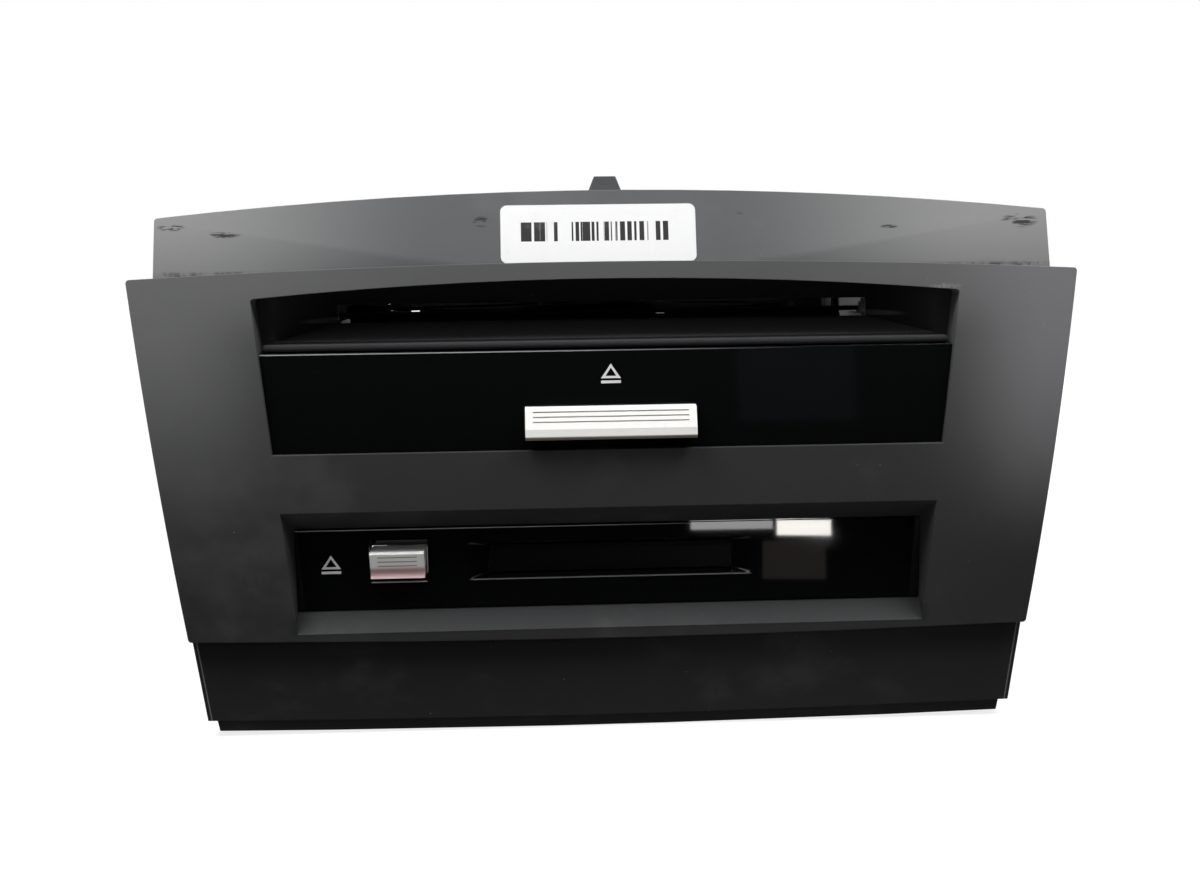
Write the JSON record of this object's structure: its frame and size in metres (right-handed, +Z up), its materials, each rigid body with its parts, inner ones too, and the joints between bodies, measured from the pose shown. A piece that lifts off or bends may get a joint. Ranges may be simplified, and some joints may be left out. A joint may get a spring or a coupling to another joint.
{
  "type": "car cd changer",
  "caption": "In-dash slot-loading disc changer for a car, with a card reader, push eject bar, card button and sprung card flap in a moulded bezel.",
  "frame": {"origin": "centre of the base: on the surface it stands on, midway across and midway front to back", "axes": "+X to the right seen from the front, +Y from the face to the rear, +Z up"},
  "size_m": [0.2078, 0.201, 0.1257],
  "materials": {
    "bezel_charcoal": "soft-touch charcoal with fine grain",
    "carrier_grey": "moulded grey, fine grain",
    "gloss_black": "piano black",
    "silver_satin": "satin silver",
    "flock_black": "flocked",
    "paper_white": "paper label",
    "flap_black": "matt",
    "zinc_sheet": "zinc-plated sheet",
    "black_sheet": "black coated sheet",
    "spring_steel": "spring steel",
    "bright_steel": "ground steel",
    "screw_steel": "blackened steel",
    "rubber_black": "soft rubber",
    "board_green": "solder-masked board",
    "connector_black": "moulded connector",
    "tray_plastic": "moulded black",
    "gear_white": "acetal",
    "motor_can": "drawn can",
    "arm_alloy": "die cast"
  },
  "bodies": {
    "housing": {"face_frame": "bezel_charcoal", "carrier": "carrier_grey", "part_label": "paper_white", "upper_gloss_panel": "gloss_black", "eject_bar_spring": "spring_steel", "eject_switch": "board_green", "recess_liner": "flock_black", "lower_gloss_panel": "gloss_black", "card_cage": "zinc_sheet", "card_button_spring": "spring_steel", "card_board": "board_green", "module_tray": "zinc_sheet", "chassis_base": "zinc_sheet", "top_cover": "zinc_sheet", "rear_panel": "zinc_sheet", "rear_stud": "bright_steel", "stud_bush": "rubber_black", "front_plate": "zinc_sheet", "bracket_left": "black_sheet", "bracket_right": "black_sheet", "screws": "screw_steel", "dampers": "rubber_black", "inner_deck": "zinc_sheet", "main_board": "board_green", "rear_connectors": "connector_black", "side_frame_left": "zinc_sheet", "side_frame_right": "zinc_sheet", "lift_motor": "motor_can", "loading_motor": "motor_can", "pivot_post": "bright_steel", "tray_3": "tray_plastic"},
    "eject_bar": {"eject_bar": "silver_satin"},
    "card_button": {"card_button": "silver_satin"},
    "ejector_lever": {"ejector_lever": "zinc_sheet"},
    "ejector_plate": {"ejector_plate": "zinc_sheet"},
    "card_flap": {"card_flap": "flap_black"},
    "cam_left": {"cam_plate_left": "gear_white"},
    "cam_right": {"cam_plate_right": "gear_white"},
    "tray_1": {"tray_1": "tray_plastic"},
    "tray_2": {"tray_2": "tray_plastic"},
    "tray_4": {"tray_4": "tray_plastic"},
    "tray_5": {"tray_5": "tray_plastic"},
    "tray_6": {"tray_6": "tray_plastic"},
    "lift_shaft": {"lift_shaft": "gear_white", "lift_gear": "gear_white"},
    "lift_pinion": {"lift_pinion": "gear_white"},
    "roller": {"loading_roller": "rubber_black", "roller_gear": "gear_white"},
    "loading_pinion": {"loading_pinion": "gear_white"},
    "swing": {"swing_sleeve": "gear_white", "clamp_arm": "arm_alloy"},
    "clamp_puck": {"clamp_puck": "gear_white"},
    "arm": {"traverse_arm": "arm_alloy", "spindle_motor": "motor_can", "guide_rod": "bright_steel", "sled_motor": "motor_can"},
    "turntable": {"turntable": "flap_black"},
    "sled": {"pickup_sled": "connector_black"},
    "lead_screw": {"lead_screw": "bright_steel"}
  },
  "joints": [
    {"name": "eject_bar_push", "type": "slide", "parent": "housing", "child": "eject_bar", "axis": [0, 1, 0], "range_m": [0, 0.0015], "stiffness_N_per_m": 600, "springref_m": -0.001, "deforming": ["eject_bar_spring"]},
    {"name": "card_button_push", "type": "slide", "parent": "housing", "child": "card_button", "axis": [0, 1, 0], "range_m": [0, 0.008], "stiffness_N_per_m": 120, "springref_m": -0.003, "deforming": ["card_button_spring"]},
    {"name": "ejector_lever_turn", "type": "hinge", "parent": "housing", "child": "ejector_lever", "pos_m": [-0.0233, -0.0015, 0.0459], "axis": [0, 0, -1], "range_deg": [0, 18.3]},
    {"name": "ejector_plate_slide", "type": "slide", "parent": "housing", "child": "ejector_plate", "axis": [0, -1, 0], "range_m": [0, 0.008]},
    {"name": "card_flap_swing", "type": "hinge", "parent": "housing", "child": "card_flap", "pos_m": [0, -0.0863, 0.0419], "axis": [1, 0, 0], "range_deg": [0, 85], "stiffness_Nm_per_rad": 0.0005, "springref_deg": -28.65},
    {"name": "cam_slide", "type": "slide", "parent": "housing", "child": "cam_left", "axis": [0, -1, 0], "range_m": [-0.016, 0]},
    {"name": "cam_slide_right", "type": "slide", "parent": "housing", "child": "cam_right", "axis": [0, -1, 0], "range_m": [-0.016, 0]},
    {"name": "tray_1_lift", "type": "slide", "parent": "housing", "child": "tray_1", "axis": [0, 0, 1], "range_m": [0, 0.016]},
    {"name": "tray_2_lift", "type": "slide", "parent": "housing", "child": "tray_2", "axis": [0, 0, 1], "range_m": [0, 0.016]},
    {"name": "tray_4_lift", "type": "slide", "parent": "housing", "child": "tray_4", "axis": [0, 0, 1], "range_m": [-0.008, 0]},
    {"name": "tray_5_lift", "type": "slide", "parent": "housing", "child": "tray_5", "axis": [0, 0, 1], "range_m": [-0.008, 0]},
    {"name": "tray_6_lift", "type": "slide", "parent": "housing", "child": "tray_6", "axis": [0, 0, 1], "range_m": [-0.008, 0]},
    {"name": "lift_shaft_turn", "type": "hinge", "parent": "housing", "child": "lift_shaft", "pos_m": [0, 0.0125, 0.0633], "axis": [1, 0, 0], "range_deg": [-230, 0]},
    {"name": "lift_pinion_turn", "type": "hinge", "parent": "housing", "child": "lift_pinion", "pos_m": [0, 0.0217, 0.0633], "axis": [1, 0, 0], "range_deg": [0, 430]},
    {"name": "roller_turn", "type": "hinge", "parent": "housing", "child": "roller", "pos_m": [0, -0.062, 0.0905], "axis": [1, 0, 0], "continuous": true},
    {"name": "loading_pinion_turn", "type": "hinge", "parent": "housing", "child": "loading_pinion", "pos_m": [0, -0.062, 0.0805], "axis": [1, 0, 0], "continuous": true},
    {"name": "arm_swing", "type": "hinge", "parent": "housing", "child": "swing", "pos_m": [-0.072, -0.0315, 0.09], "axis": [0, 0, -1], "range_deg": [0, 57.43]},
    {"name": "arm_lift", "type": "slide", "parent": "swing", "child": "arm", "axis": [0, 0, 1], "range_m": [0, 0.004]},
    {"name": "puck_turn", "type": "hinge", "parent": "swing", "child": "clamp_puck", "pos_m": [-0.072, 0.05394, 0.1], "axis": [0, 0, 1], "continuous": true},
    {"name": "turntable_turn", "type": "hinge", "parent": "arm", "child": "turntable", "pos_m": [-0.072, 0.05394, 0.09], "axis": [0, 0, 1], "continuous": true},
    {"name": "sled_travel", "type": "slide", "parent": "arm", "child": "sled", "axis": [0, -1, 0], "range_m": [0, 0.033]},
    {"name": "lead_screw_turn", "type": "hinge", "parent": "arm", "child": "lead_screw", "pos_m": [-0.079, 0.0085, 0.0859], "axis": [0, 1, 0], "range_deg": [0, 4753]}
  ],
  "couplings": [
    {"joint": "ejector_lever_turn", "follows": "card_button_push", "rad_per_m": 39.664},
    {"joint": "ejector_plate_slide", "follows": "card_button_push", "ratio": 1},
    {"joint": "cam_slide_right", "follows": "cam_slide", "ratio": 1},
    {"joint": "tray_1_lift", "follows": "cam_slide", "ratio": -1},
    {"joint": "tray_2_lift", "follows": "cam_slide", "ratio": -1},
    {"joint": "tray_4_lift", "follows": "cam_slide", "ratio": 0.5},
    {"joint": "tray_5_lift", "follows": "cam_slide", "ratio": 0.5},
    {"joint": "tray_6_lift", "follows": "cam_slide", "ratio": 0.5},
    {"joint": "lift_shaft_turn", "follows": "cam_slide", "rad_per_m": 250},
    {"joint": "lift_pinion_turn", "follows": "cam_slide", "rad_per_m": -468.75},
    {"joint": "loading_pinion_turn", "follows": "roller_turn", "ratio": -1.5},
    {"joint": "puck_turn", "follows": "turntable_turn", "ratio": 1},
    {"joint": "lead_screw_turn", "follows": "sled_travel", "rad_per_m": 2513.3}
  ]
}
